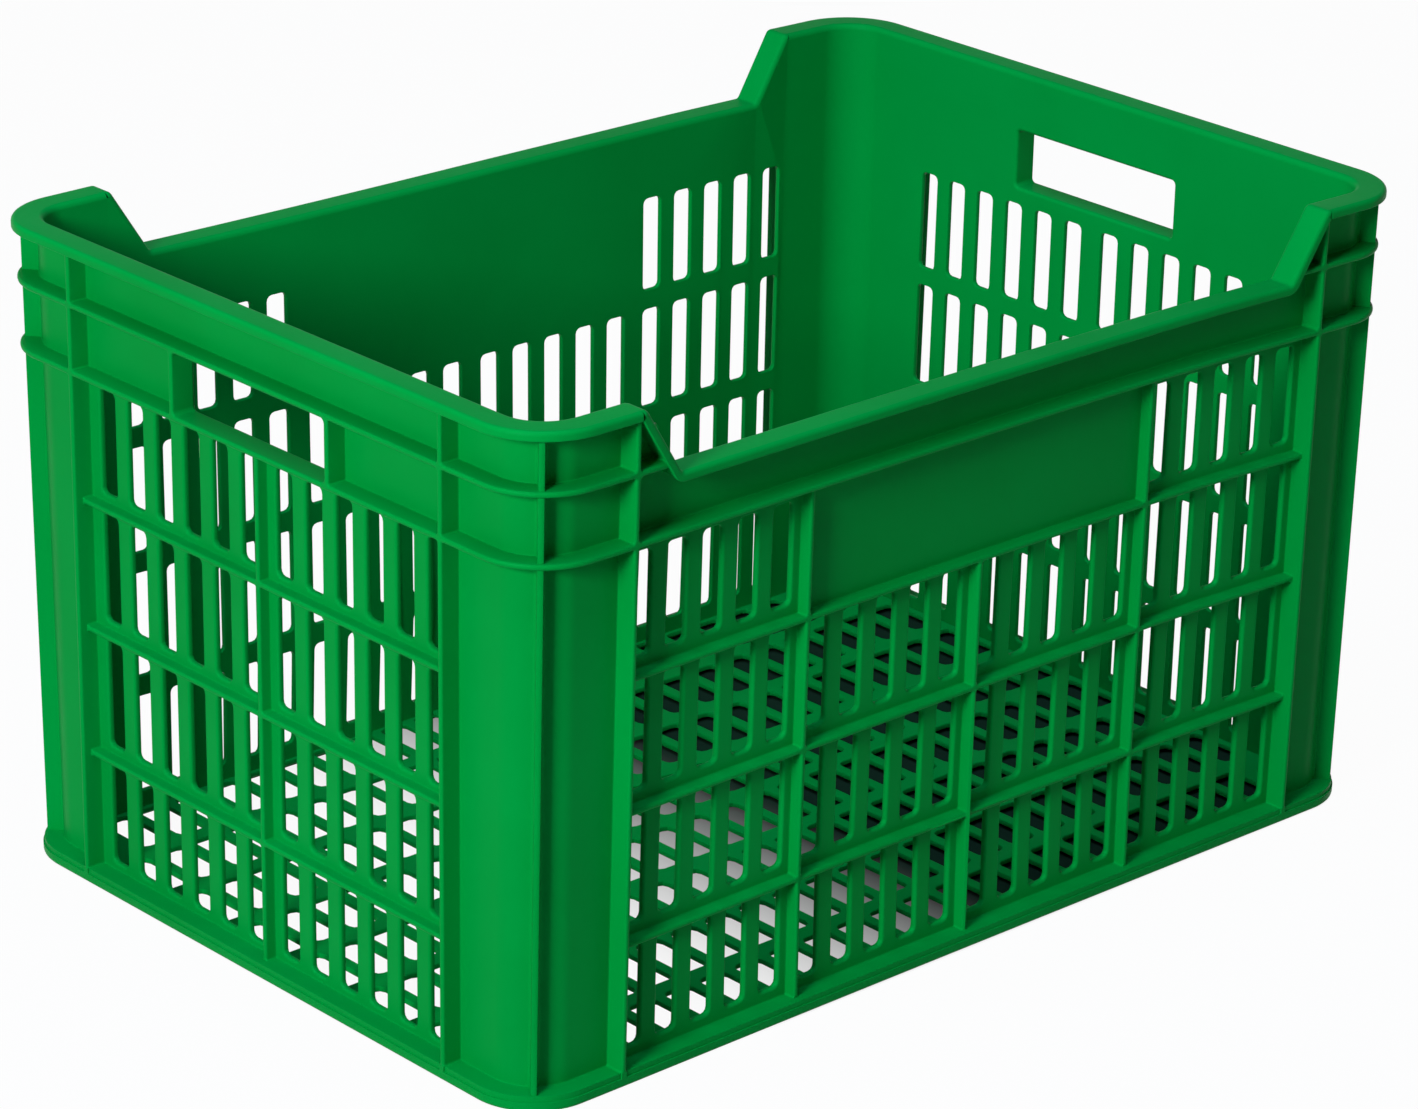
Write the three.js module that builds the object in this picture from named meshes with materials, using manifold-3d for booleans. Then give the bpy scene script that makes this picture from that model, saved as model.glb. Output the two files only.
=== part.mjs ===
// Perforated harvest crate, moulded in one green plastic.
// Thin walls carry upright and level ribs, and every panel between them is slotted.
// Each named mesh is one region of the moulding, and the regions meet on flat planes.
// Millimetres, +Z up, +X along the long side, origin in the middle of the underside.

import * as THREE from "three";
import { mergeVertices } from "three/addons/utils/BufferGeometryUtils.js";
import Module from "manifold-3d";

const wasm = await Module();
wasm.setup();

// Overall size, measured over the rim
const LENGTH = 600;
const WIDTH = 426;
const HEIGHT = 347;

// Wall section: a skin with ribs standing out of it
const SKIN = 3.5;
const RIB_DEPTH = 11;
const RIB = 3;
const GRID_RECESS = 1.3; // how far the grid ribs stay behind the post ribs
const LONG_DRAFT = 0.015; // outward lean of the long walls, per mm of height
const END_DRAFT = 0.005; // outward lean of the end walls

// Corner posts
const POST_WIDTH = 62; // from the corner's outer faces to a post rib's centre
const CORNER_RADIUS = 40; // at the rib edges
const CORNER_STEPS = 4;
const CORNER_RIB_RECESS = 1.5;

// Rim: a flange, with a lip hanging from its outer edge
const RIM_OVERHANG = 2;
const FLANGE = 3;
const LIP = 5;

// Both long sides dip between their posts
const DIP_DROP = 36;
const DIP_RUN = 23;
const SHOULDER_RUN_OUT = 1; // from the foot of the slope to where the straight low rim starts

// Level ribs: the two that run all round hang at fixed depths under the rim
const GRIP_DROP = 33; // from the top of the rim to the underside of the rib under the grip
const BAND_DROP = 68.5; // to the underside of the rib under the hand holes
const ROWS = 4; // of slotted panels below it
const BOTTOM_ROW = 62.7; // clear height of the lowest row, between base flange and rib

// Slots in the walls
const SLOT = 12.6;
const SLOT_SILL = 2.6; // from the rib below up to the slot
const SLOT_HEAD = 4; // from the slot up to the rib above
const LONG_BAYS = 4;
const LONG_SLOTS = 5; // in each bay
const LONG_MARGIN = 8.1; // from a rib's centre to the nearest slot
const END_SLOTS = 6;
const END_MARGIN = 7; // from the middle rib's centre to the first slot
const END_SIDE_MARGIN = 10.7; // from the last slot to the post rib

// Hand hole in each end wall, between the band rib and the grip rib
const HAND_HOLE = 118;

// Base flange round the foot of the walls, with a small step in its outer face
const BASE_HEIGHT = 8.2;
const BASE_STEP = 3;
const BASE_STEP_DEPTH = 0.8;

// Floor: a thin plate with oblong holes, held clear of the ground by the base flange
const FLOOR_LIFT = 2;
const FLOOR_THICKNESS = 3;
const FLOOR_COLUMNS = 24;
const FLOOR_ROWS = 8;
const FLOOR_WEB_X = 6.9; // plastic between two holes
const FLOOR_WEB_Y = 10.4;
const FLOOR_BORDER_X = 4.1; // from the last hole to the plate's edge
const FLOOR_BORDER_Y = 2.6;
const CLEARANCE = 0.3; // round the floor, and between the lip and the ribs

// Sizes that follow from those above
const WALL = SKIN + RIB_DEPTH;
const EDGE_X = LENGTH / 2 - RIM_OVERHANG - END_DRAFT * HEIGHT;
const EDGE_Y = WIDTH / 2 - RIM_OVERHANG - LONG_DRAFT * HEIGHT;
const INNER_X = EDGE_X - WALL;
const INNER_Y = EDGE_Y - WALL;
const CENTRE_X = EDGE_X - CORNER_RADIUS;
const CENTRE_Y = EDGE_Y - CORNER_RADIUS;
const LONG_HALF = EDGE_X - POST_WIDTH - RIB / 2;
const END_HALF = EDGE_Y - POST_WIDTH - RIB / 2;
const BAY = (EDGE_X - POST_WIDTH) / (LONG_BAYS / 2);
const LONG_BAR = (BAY - 2 * LONG_MARGIN - LONG_SLOTS * SLOT) / (LONG_SLOTS - 1); // plastic between two slots
const END_BAR = (END_HALF - END_MARGIN - END_SIDE_MARGIN - END_SLOTS * SLOT) / (END_SLOTS - 1);
const RIM_DEPTH = WALL + RIM_OVERHANG;
const LIP_THICKNESS = RIM_OVERHANG - CLEARANCE;
const EMBED = 0.5; // how far joined shapes run into each other

// Dip line, seen from the side
const LOW_RIM_Z = HEIGHT - DIP_DROP;
const DIP_MITRE = Math.tan(Math.atan2(DIP_DROP, DIP_RUN) / 2);
const DIP_START = LONG_HALF - FLANGE * DIP_MITRE;
const DIP_END = DIP_START - DIP_RUN;
const RAIL_HALF = DIP_END - SHOULDER_RUN_OUT;
const BAND_REACH = LONG_HALF + LIP; // how far the dip's flange and lip run on into a corner

// Undersides of the level ribs, and the equal step from row to row
const GRIP_RIB_Z = HEIGHT - GRIP_DROP;
const BAND_RIB_Z = HEIGHT - BAND_DROP;
const ROW_PITCH = (BAND_RIB_Z - BASE_HEIGHT - BOTTOM_ROW) / (ROWS - 1);

// Underside of the level rib that closes row 0, 1, 2 ... from above
const rowHead = (row) => BAND_RIB_Z - row * ROW_PITCH;

// Upper face of what closes a row from below: a rib, or the base flange for the last row
const rowFoot = (row) => (row === ROWS - 1 ? BASE_HEIGHT : rowHead(row + 1) + RIB);

// A closed geometry becomes a solid that can be joined and cut
function solid(geometry) {
  geometry.deleteAttribute("normal");
  geometry.deleteAttribute("uv");
  const merged = mergeVertices(geometry);
  return new wasm.Manifold(new wasm.Mesh({
    numProp: 3,
    vertProperties: Float32Array.from(merged.attributes.position.array),
    triVerts: Uint32Array.from(merged.index.array),
  }));
}

function join(...solids) {
  return solids.reduce((whole, next) => whole.add(next));
}

// The solid again as a geometry, moved by a matrix; a mirrored one has its faces turned back
function geometryOf(shape, matrix = new THREE.Matrix4()) {
  const mesh = shape.getMesh();
  const corners = Uint32Array.from(mesh.triVerts);
  if (matrix.determinant() < 0) {
    for (let i = 0; i < corners.length; i += 3) {
      [corners[i], corners[i + 1]] = [corners[i + 1], corners[i]];
    }
  }
  const geometry = new THREE.BufferGeometry();
  const places = new THREE.BufferAttribute(Float32Array.from(mesh.vertProperties), 3);
  geometry.setAttribute("position", places);
  geometry.setIndex(new THREE.BufferAttribute(corners, 1));
  geometry.applyMatrix4(matrix);
  return geometry;
}

// Gives every point of an extrusion one unit deep its final place
function replaced(geometry, place) {
  const points = geometry.attributes.position;
  for (let i = 0; i < points.count; i += 1) {
    points.setXYZ(i, ...place(points.getX(i), points.getY(i), points.getZ(i) > 0.5));
  }
  return geometry;
}

function extruded(outline) {
  return new THREE.ExtrudeGeometry(outline, {
    depth: 1,
    bevelEnabled: false,
    curveSegments: CORNER_STEPS,
  });
}

// A level plate: outline in plan, from one height to another
function plate(outline, low, high) {
  return solid(replaced(extruded(outline), (x, y, far) => [x, y, far ? high : low]));
}

// An upright slab of a wall: outline seen from the side (along, up), with its depth outward
function slab(outline, inner, outer) {
  return solid(replaced(extruded(outline), (along, up, far) => [along, far ? inner : outer, up]));
}

// A straight run of one cross-section (outward, up) along a wall
function run(section, from, to) {
  return solid(replaced(extruded(section), (out, up, far) => [far ? to : from, out, up]));
}

function polygon(points) {
  return new THREE.Shape(points.map(([x, y]) => new THREE.Vector2(x, y)));
}

function rectangle(x0, x1, y0, y1) {
  return polygon([[x0, y0], [x1, y0], [x1, y1], [x0, y1]]);
}

// A row of equal slots as cutters that pass right through the skin
function slotRow(start, count, pitch, low, high) {
  return Array.from({ length: count }, (_, i) => {
    const left = start + i * pitch;
    return slab(rectangle(left, left + SLOT, low, high), -EMBED, SKIN + EMBED);
  });
}

// Plan of a strip round the corner between two radii, with a straight leg along each wall
function cornerStrip([outer, inner], legX) {
  const legY = END_HALF - RIB;
  const shape = new THREE.Shape();
  shape.moveTo(legX, CENTRE_Y + inner);
  shape.lineTo(CENTRE_X, CENTRE_Y + inner);
  shape.absarc(CENTRE_X, CENTRE_Y, inner, Math.PI / 2, 0, true);
  shape.lineTo(CENTRE_X + inner, legY);
  shape.lineTo(CENTRE_X + outer, legY);
  shape.lineTo(CENTRE_X + outer, CENTRE_Y);
  shape.absarc(CENTRE_X, CENTRE_Y, outer, 0, Math.PI / 2, false);
  shape.lineTo(legX, CENTRE_Y + outer);
  return shape;
}

// Leaning outward with height, as the walls do
function leaning(shape, leanX, leanY) {
  const lean = new THREE.Matrix4().makeShear(0, 0, 0, 0, leanX, leanY);
  return solid(geometryOf(shape, lean));
}

// Radii of each sheet of a corner, from outside to inside
const cornerSheets = {
  skin: [CORNER_RADIUS - RIB_DEPTH, CORNER_RADIUS - WALL],
  rib: [CORNER_RADIUS, CORNER_RADIUS - RIB_DEPTH - EMBED],
  base: [CORNER_RADIUS, CORNER_RADIUS - WALL],
  baseStep: [CORNER_RADIUS - BASE_STEP_DEPTH, CORNER_RADIUS - WALL],
  flange: [CORNER_RADIUS + RIM_OVERHANG, CORNER_RADIUS - WALL],
  lip: [CORNER_RADIUS + RIM_OVERHANG, CORNER_RADIUS + RIM_OVERHANG - LIP_THICKNESS],
};

// A post's side rib: its inner face is cut later, its outer face stands upright in the finished post
function sideRib(half, innerFace, edge, lean, top) {
  const side = polygon([
    [half - RIB, 0],
    [half + RIB, 0],
    [half + RIB - lean * top, top],
    [half - RIB, top],
  ]);
  return slab(side, innerFace + SKIN - EMBED, edge);
}

const swapSides = new THREE.Matrix4().set(0, 1, 0, 0, 1, 0, 0, 0, 0, 0, 1, 0, 0, 0, 0, 1);

// A corner post: rounded skin, two level ribs, a rib down the middle and one at each side
function cornerPost() {
  const top = HEIGHT - FLANGE;
  const diagonal = new THREE.Matrix4()
    .makeTranslation(CENTRE_X, CENTRE_Y, 0)
    .multiply(new THREE.Matrix4().makeRotationZ(Math.PI / 4));
  const middleSpan = rectangle(
    CORNER_RADIUS - RIB_DEPTH - EMBED,
    CORNER_RADIUS - CORNER_RIB_RECESS,
    -RIB / 2,
    RIB / 2,
  );
  const strip = (sheet, low, high) => {
    return plate(cornerStrip(cornerSheets[sheet], LONG_HALF - RIB), low, high);
  };
  const body = join(
    strip("base", 0, BASE_HEIGHT - BASE_STEP),
    strip("baseStep", 0, BASE_HEIGHT),
    strip("skin", 0, top),
    strip("rib", BAND_RIB_Z, BAND_RIB_Z + RIB),
    strip("rib", GRIP_RIB_Z, GRIP_RIB_Z + RIB),
    solid(geometryOf(plate(middleSpan, BASE_HEIGHT / 2, top), diagonal)),
    sideRib(LONG_HALF, INNER_Y, EDGE_Y, END_DRAFT, top),
    solid(geometryOf(sideRib(END_HALF, INNER_X, EDGE_X, LONG_DRAFT, top), swapSides)),
  );
  const space = plate(rectangle(LONG_HALF, LENGTH, END_HALF, WIDTH), -EMBED, HEIGHT);
  return leaning(body, END_DRAFT, LONG_DRAFT).intersect(space);
}

// Side view of a band that hangs under the dip line, as thick as asked
function dipBand(thickness) {
  const shift = thickness * DIP_MITRE;
  return polygon([
    [BAND_REACH, HEIGHT - thickness],
    [BAND_REACH, HEIGHT],
    [DIP_START, HEIGHT],
    [DIP_END, LOW_RIM_Z],
    [RAIL_HALF - RIB, LOW_RIM_Z],
    [RAIL_HALF - RIB, LOW_RIM_Z - thickness],
    [DIP_END + shift, LOW_RIM_Z - thickness],
    [DIP_START + shift, HEIGHT - thickness],
  ]);
}

// The rim round a corner, and its shoulder down to the low rim of the long side
function rimShoulder() {
  const middle = FLANGE / 2;
  const top = HEIGHT - FLANGE;
  const underDip = (z) => {
    const rise = z - (LOW_RIM_Z - middle);
    return DIP_END + middle * DIP_MITRE + rise * DIP_RUN / DIP_DROP;
  };
  const gusset = polygon([
    [LONG_HALF + RIB, LOW_RIM_Z - FLANGE],
    [LONG_HALF + RIB, HEIGHT - middle],
    [DIP_START + middle * DIP_MITRE, HEIGHT - middle],
    [underDip(LOW_RIM_Z - middle), LOW_RIM_Z - middle],
    [DIP_END + FLANGE * DIP_MITRE, LOW_RIM_Z - FLANGE],
  ]);
  const ribStub = polygon([
    [LONG_HALF + RIB, GRIP_RIB_Z],
    [LONG_HALF + RIB, GRIP_RIB_Z + RIB],
    [underDip(GRIP_RIB_Z + RIB), GRIP_RIB_Z + RIB],
    [underDip(GRIP_RIB_Z), GRIP_RIB_Z],
  ]);
  const dip = join(
    slab(dipBand(FLANGE), INNER_Y, INNER_Y + RIM_DEPTH),
    slab(dipBand(LIP), INNER_Y + RIM_DEPTH - LIP_THICKNESS, INNER_Y + RIM_DEPTH),
    slab(gusset, INNER_Y, INNER_Y + SKIN),
    slab(ribStub, INNER_Y + SKIN - EMBED, INNER_Y + WALL),
  );
  const whole = join(
    leaning(dip, -END_DRAFT, 0),
    plate(cornerStrip(cornerSheets.flange, LONG_HALF), top, HEIGHT),
    plate(cornerStrip(cornerSheets.lip, LONG_HALF), HEIGHT - LIP, HEIGHT),
  );
  const space = plate(rectangle(RAIL_HALF, LENGTH, END_HALF, WIDTH), 0, HEIGHT + EMBED);
  const ribEdge = EDGE_Y + LONG_DRAFT * HEIGHT + CLEARANCE / 2;
  const postHead = plate(rectangle(LONG_HALF, BAND_REACH + EMBED, 0, ribEdge), 0, top);
  return leaning(whole, END_DRAFT, LONG_DRAFT).intersect(space).subtract(postHead);
}

// A straight piece of rim: flange and hanging lip
function rimRun(half, top) {
  const section = polygon([
    [0, top - FLANGE],
    [RIM_DEPTH - LIP_THICKNESS, top - FLANGE],
    [RIM_DEPTH - LIP_THICKNESS, top - LIP],
    [RIM_DEPTH, top - LIP],
    [RIM_DEPTH, top],
    [0, top],
  ]);
  return run(section, -half, half);
}

// A plain strip of wall that stands on a level rib
function ribbedStrip(half, ribZ, top) {
  const section = polygon([
    [0, ribZ],
    [WALL, ribZ],
    [WALL, ribZ + RIB],
    [SKIN, ribZ + RIB],
    [SKIN, top],
    [0, top],
  ]);
  return run(section, -half, half);
}

// The foot of a wall, with the step in its outer face
function baseFlange(half) {
  const section = polygon([
    [0, 0],
    [WALL, 0],
    [WALL, BASE_HEIGHT - BASE_STEP],
    [WALL - BASE_STEP_DEPTH, BASE_HEIGHT - BASE_STEP],
    [WALL - BASE_STEP_DEPTH, BASE_HEIGHT],
    [0, BASE_HEIGHT],
  ]);
  return run(section, -half, half);
}

const gridRib = (x0, x1, z0, z1) => slab(rectangle(x0, x1, z0, z1), SKIN - EMBED, WALL - GRID_RECESS);
const uprightRib = (x, top) => gridRib(x - RIB / 2, x + RIB / 2, BASE_HEIGHT, top);

// Level ribs between the rows
function rowRibs(half) {
  const ribs = [];
  for (let row = 1; row < ROWS; row += 1) {
    ribs.push(gridRib(-half, half, rowHead(row), rowHead(row) + RIB));
  }
  return ribs;
}

const PANEL_HALF = BAY - RIB / 2;
const PANEL_FOOT = rowFoot(0);

// Slotted field of a long wall; the two middle bays of its top row are left out for the panel
function longGrille() {
  const outline = polygon([
    [-LONG_HALF, BASE_HEIGHT],
    [LONG_HALF, BASE_HEIGHT],
    [LONG_HALF, BAND_RIB_Z],
    [PANEL_HALF, BAND_RIB_Z],
    [PANEL_HALF, PANEL_FOOT],
    [-PANEL_HALF, PANEL_FOOT],
    [-PANEL_HALF, BAND_RIB_Z],
    [-LONG_HALF, BAND_RIB_Z],
  ]);
  const pitch = SLOT + LONG_BAR;
  const slots = [];
  for (let row = 0; row < ROWS; row += 1) {
    const low = rowFoot(row) + SLOT_SILL;
    const high = rowHead(row) - SLOT_HEAD;
    for (let bay = 0; bay < LONG_BAYS; bay += 1) {
      const beside = bay === 0 || bay === LONG_BAYS - 1;
      if (row > 0 || beside) {
        const start = (bay - LONG_BAYS / 2) * BAY + LONG_MARGIN;
        slots.push(...slotRow(start, LONG_SLOTS, pitch, low, high));
      }
    }
  }
  return join(
    slab(outline, 0, SKIN).subtract(join(...slots)),
    ...rowRibs(LONG_HALF),
    uprightRib(-BAY, BAND_RIB_Z),
    uprightRib(0, rowHead(1)),
    uprightRib(BAY, BAND_RIB_Z),
  );
}

// Slotted field of an end wall, in two bays
function endGrille() {
  const outline = rectangle(-END_HALF, END_HALF, BASE_HEIGHT, BAND_RIB_Z);
  const pitch = SLOT + END_BAR;
  const reach = END_SLOTS * pitch - END_BAR;
  const slots = [];
  for (let row = 0; row < ROWS; row += 1) {
    const low = rowFoot(row) + SLOT_SILL;
    const high = rowHead(row) - SLOT_HEAD;
    slots.push(...slotRow(END_MARGIN, END_SLOTS, pitch, low, high));
    slots.push(...slotRow(-END_MARGIN - reach, END_SLOTS, pitch, low, high));
  }
  return join(
    slab(outline, 0, SKIN).subtract(join(...slots)),
    ...rowRibs(END_HALF),
    uprightRib(0, BAND_RIB_Z),
  );
}

// Blank wall beside a hand hole, with the full-depth rib that lines the hole
function holeCheek() {
  const low = BAND_RIB_Z + RIB;
  return join(
    slab(rectangle(HAND_HOLE / 2, END_HALF, low, GRIP_RIB_Z), 0, SKIN),
    slab(rectangle(HAND_HOLE / 2, HAND_HOLE / 2 + RIB, low, GRIP_RIB_Z), 0, WALL),
  );
}

// Length of one of a row of equal holes that share a span with the webs between them
const holeLength = (span, count, web, border) => (span - 2 * border - (count - 1) * web) / count;

// Plan of the floor: a rectangle with round corners, clear of the walls all round
function floorOutline() {
  const radius = CORNER_RADIUS - WALL - CLEARANCE;
  const outline = new THREE.Shape();
  const signs = [[1, 1], [-1, 1], [-1, -1], [1, -1]];
  signs.forEach(([sx, sy], quarter) => {
    const start = quarter * Math.PI / 2;
    outline.absarc(sx * CENTRE_X, sy * CENTRE_Y, radius, start, start + Math.PI / 2, false);
  });
  return outline;
}

// The floor plate; a hole that would break into a round corner is left out
function floorPlate() {
  const top = FLOOR_LIFT + FLOOR_THICKNESS;
  const spanX = 2 * (INNER_X - CLEARANCE);
  const spanY = 2 * (INNER_Y - CLEARANCE);
  const halfX = holeLength(spanX, FLOOR_COLUMNS, FLOOR_WEB_X, FLOOR_BORDER_X) / 2;
  const halfY = holeLength(spanY, FLOOR_ROWS, FLOOR_WEB_Y, FLOOR_BORDER_Y) / 2;
  const pitchX = 2 * halfX + FLOOR_WEB_X;
  const pitchY = 2 * halfY + FLOOR_WEB_Y;
  const holes = [];
  for (let column = 0; column < FLOOR_COLUMNS; column += 1) {
    for (let row = 0; row < FLOOR_ROWS; row += 1) {
      const x = (column - (FLOOR_COLUMNS - 1) / 2) * pitchX;
      const y = (row - (FLOOR_ROWS - 1) / 2) * pitchY;
      const pastArcX = Math.abs(x) + halfX > CENTRE_X;
      const pastArcY = Math.abs(y) + halfY > CENTRE_Y;
      if (!(pastArcX && pastArcY)) {
        const hole = rectangle(x - halfX, x + halfX, y - halfY, y + halfY);
        holes.push(plate(hole, FLOOR_LIFT - EMBED, top + EMBED));
      }
    }
  }
  return plate(floorOutline(), FLOOR_LIFT, top).subtract(join(...holes));
}

const group = new THREE.Group();

function add(name, shape, matrix) {
  const material = new THREE.MeshStandardMaterial({
    color: new THREE.Color(0x05843a),
    roughness: 0.42,
    metalness: 0,
  });
  const mesh = new THREE.Mesh(geometryOf(shape, matrix), material);
  mesh.name = name;
  group.add(mesh);
}

// Where a wall piece goes: along, outward and up become the crate's own directions
function wallPlace(isLong, side, lean) {
  const place = isLong
    ? new THREE.Matrix4().set(1, 0, 0, 0, 0, 1, lean, INNER_Y, 0, 0, 1, 0, 0, 0, 0, 1)
    : new THREE.Matrix4().set(0, 1, lean, INNER_X, 1, 0, 0, 0, 0, 0, 1, 0, 0, 0, 0, 1);
  const mirror = isLong ? [1, side, 1] : [side, 1, 1];
  return new THREE.Matrix4().makeScale(...mirror).multiply(place);
}

add("floor_grid", floorPlate());

const longPieces = {
  base_flange: [baseFlange(LONG_HALF), LONG_DRAFT],
  grille: [longGrille(), LONG_DRAFT],
  label_panel: [slab(rectangle(-PANEL_HALF, PANEL_HALF, PANEL_FOOT, BAND_RIB_Z), 0, SKIN), LONG_DRAFT],
  upper_band: [ribbedStrip(LONG_HALF, BAND_RIB_Z, LOW_RIM_Z - FLANGE), LONG_DRAFT],
  low_rim: [rimRun(RAIL_HALF, LOW_RIM_Z), LONG_DRAFT],
};
for (const [side, sign] of [["front", -1], ["back", 1]]) {
  for (const [name, [shape, lean]] of Object.entries(longPieces)) {
    add(`${side}_${name}`, shape, wallPlace(true, sign, lean));
  }
}

const sillSection = rectangle(0, WALL, BAND_RIB_Z, BAND_RIB_Z + RIB);
const flipAlong = new THREE.Matrix4().makeScale(-1, 1, 1);
const endPieces = {
  base_flange: [baseFlange(END_HALF), END_DRAFT],
  grille: [endGrille(), END_DRAFT],
  hand_hole_sill: [run(sillSection, -END_HALF, END_HALF), END_DRAFT],
  hand_hole_back_cheek: [holeCheek(), END_DRAFT],
  hand_hole_front_cheek: [solid(geometryOf(holeCheek(), flipAlong)), END_DRAFT],
  grip_rail: [ribbedStrip(END_HALF, GRIP_RIB_Z, HEIGHT - FLANGE), END_DRAFT],
  rim: [rimRun(END_HALF, HEIGHT), END_DRAFT],
};
for (const [side, sign] of [["left", -1], ["right", 1]]) {
  for (const [name, [shape, lean]] of Object.entries(endPieces)) {
    add(`${side}_${name}`, shape, wallPlace(false, sign, lean));
  }
}

const post = cornerPost();
const shoulder = rimShoulder();
for (const [depth, signY] of [["front", -1], ["back", 1]]) {
  for (const [side, signX] of [["left", -1], ["right", 1]]) {
    const corner = new THREE.Matrix4().makeScale(signX, signY, 1);
    add(`${depth}_${side}_corner_post`, post, corner);
    add(`${depth}_${side}_rim_shoulder`, shoulder, corner);
  }
}

export default group;
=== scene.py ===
import bmesh
import bpy
import numpy as np
from mathutils import Matrix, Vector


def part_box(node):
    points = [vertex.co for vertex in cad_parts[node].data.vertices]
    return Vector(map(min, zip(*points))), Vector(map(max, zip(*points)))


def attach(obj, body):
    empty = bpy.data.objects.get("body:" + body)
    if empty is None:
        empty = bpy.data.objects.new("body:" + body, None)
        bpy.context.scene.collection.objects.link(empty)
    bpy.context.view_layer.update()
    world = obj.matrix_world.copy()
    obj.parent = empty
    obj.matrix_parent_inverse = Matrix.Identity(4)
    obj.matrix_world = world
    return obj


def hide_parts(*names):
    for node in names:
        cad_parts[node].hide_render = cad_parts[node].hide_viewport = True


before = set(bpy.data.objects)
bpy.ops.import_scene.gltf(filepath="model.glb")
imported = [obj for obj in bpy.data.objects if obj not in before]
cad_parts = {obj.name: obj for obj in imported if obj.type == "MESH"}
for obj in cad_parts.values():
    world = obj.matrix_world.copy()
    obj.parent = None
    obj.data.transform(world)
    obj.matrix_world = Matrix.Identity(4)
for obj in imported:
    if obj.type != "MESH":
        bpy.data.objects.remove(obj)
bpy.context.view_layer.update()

# Floor of the crate: a thin plate moulded in one with the walls, in green polyethylene.
# Eight rows of oblong drain holes pierce it, and it hangs just clear of the ground.
MM = 0.001  # every shape is worked out in millimetres and made in metres
SHARPEST = 0.02  # radius of an edge that stays sharp
CREASE = np.radians(38)  # faces that meet at more than this keep their edge
ON_CUT = 0.001  # points nearer to a cut than this are taken to lie on it
PAST = 1.0  # how far a cutter runs on past the face that it opens


def crate_box(node):
    """Lowest and highest corner of a node of the frame, in millimetres."""
    return np.array(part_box(node)) / MM


def rounded(corners, radius, flare=0.0, steps=3):
    """Outline through corners given counter-clockwise. Each side moves outward by its flare and
    each corner turns on an arc.

    A moved corner is the corner plus p, where n0.p and n1.p are the flares of the sides that meet
    there and n0, n1 are their outward normals. Its arc is centre + s r n: n turns from n0 to n1,
    s is 1 at an outward corner and -1 at an inward one, and s times the mean flare is added to r."""
    corners = np.array(corners, float)
    sides = np.roll(corners, -1, axis=0) - corners
    sides /= np.linalg.norm(sides, axis=1, keepdims=True)
    after = np.stack([sides[:, 1], -sides[:, 0]], axis=1)
    before = np.roll(after, 1, axis=0)
    flare_after = np.zeros(len(corners)) + flare
    flare_before = np.roll(flare_after, 1)
    cross = before[:, 0] * after[:, 1] - before[:, 1] * after[:, 0]
    turn = np.arctan2(cross, (before * after).sum(axis=1))
    sign = np.sign(turn)
    shift_along = flare_before * after[:, 1] - flare_after * before[:, 1]
    shift_up = flare_after * before[:, 0] - flare_before * after[:, 0]
    moved = corners + np.stack([shift_along, shift_up], axis=1) / cross[:, None]
    radii = np.maximum(radius + sign * (flare_before + flare_after) / 2, SHARPEST)
    middle = before + after
    middle /= np.linalg.norm(middle, axis=1, keepdims=True)
    centre = moved - (sign * radii / np.cos(turn / 2))[:, None] * middle
    swing = turn[:, None] * np.linspace(0, 1, steps + 1)
    normal_along = before[:, :1] * np.cos(swing) - before[:, 1:] * np.sin(swing)
    normal_up = before[:, :1] * np.sin(swing) + before[:, 1:] * np.cos(swing)
    normal = np.stack([normal_along, normal_up], axis=-1)
    arcs = centre[:, None] + (sign * radii)[:, None, None] * normal
    return arcs.reshape(-1, 2)


def rectangle(left, right, low, high):
    return [(left, low), (right, low), (right, high), (left, high)]


def centred(half):
    """Rectangle about the middle, from half of its length and half of its width."""
    return rectangle(-half[0], half[0], -half[1], half[1])


def rings_of(corners, radius, profile, steps=3):
    """Stack of rings (along, depth, up): one outline for each (depth, flare) of the profile."""
    flat = [(depth, rounded(corners, radius, flare, steps)) for depth, flare in profile]
    return np.array([np.insert(outline, 1, depth, axis=1) for depth, outline in flat])


def rounded_edge(surface, radius, outward=1, steps=3, sides=1.0):
    """Profile of a hole's rounded edge at a surface. At angle a the depth is short of the surface
    by radius (1 - sin a) and the flare is radius (1 - cos a), times the share of each side."""
    angles = np.linspace(0, np.pi / 2, steps + 1)[::outward]
    depths = surface - outward * radius * (1 - np.sin(angles))
    return [(depth, radius * (1 - np.cos(a)) * sides) for depth, a in zip(depths, angles)]


def through(thickness, inner, outer, steps=(3, 3), sides=1.0):
    """Profile of a hole right through the plastic, rounded at its inner and its outer edge."""
    profile = [(-PAST, inner)] + rounded_edge(0, inner, -1, steps[0])
    profile += rounded_edge(thickness, outer, 1, steps[1], sides)
    return profile + [(thickness + PAST, outer * sides)]


def read(items, attribute, width=1, kind=float):
    """An attribute of a mesh's points, corners or faces, with one row for each of them."""
    values = np.empty(len(items) * width, kind)
    items.foreach_get(attribute, values)
    return values.reshape(-1, width)


def volume(mesh):
    """Signed volume: the sum over triangles of a . (b x c) / 6."""
    mesh.calc_loop_triangles()
    corners = read(mesh.loop_triangles, "vertices", 3, int)
    a, b, c = read(mesh.vertices, "co", 3)[corners].transpose(1, 0, 2)
    return np.einsum("ij,ij->", a, np.cross(b, c)) / 6


def face_outwards(mesh):
    if volume(mesh) < 0:
        mesh.flip_normals()


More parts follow.
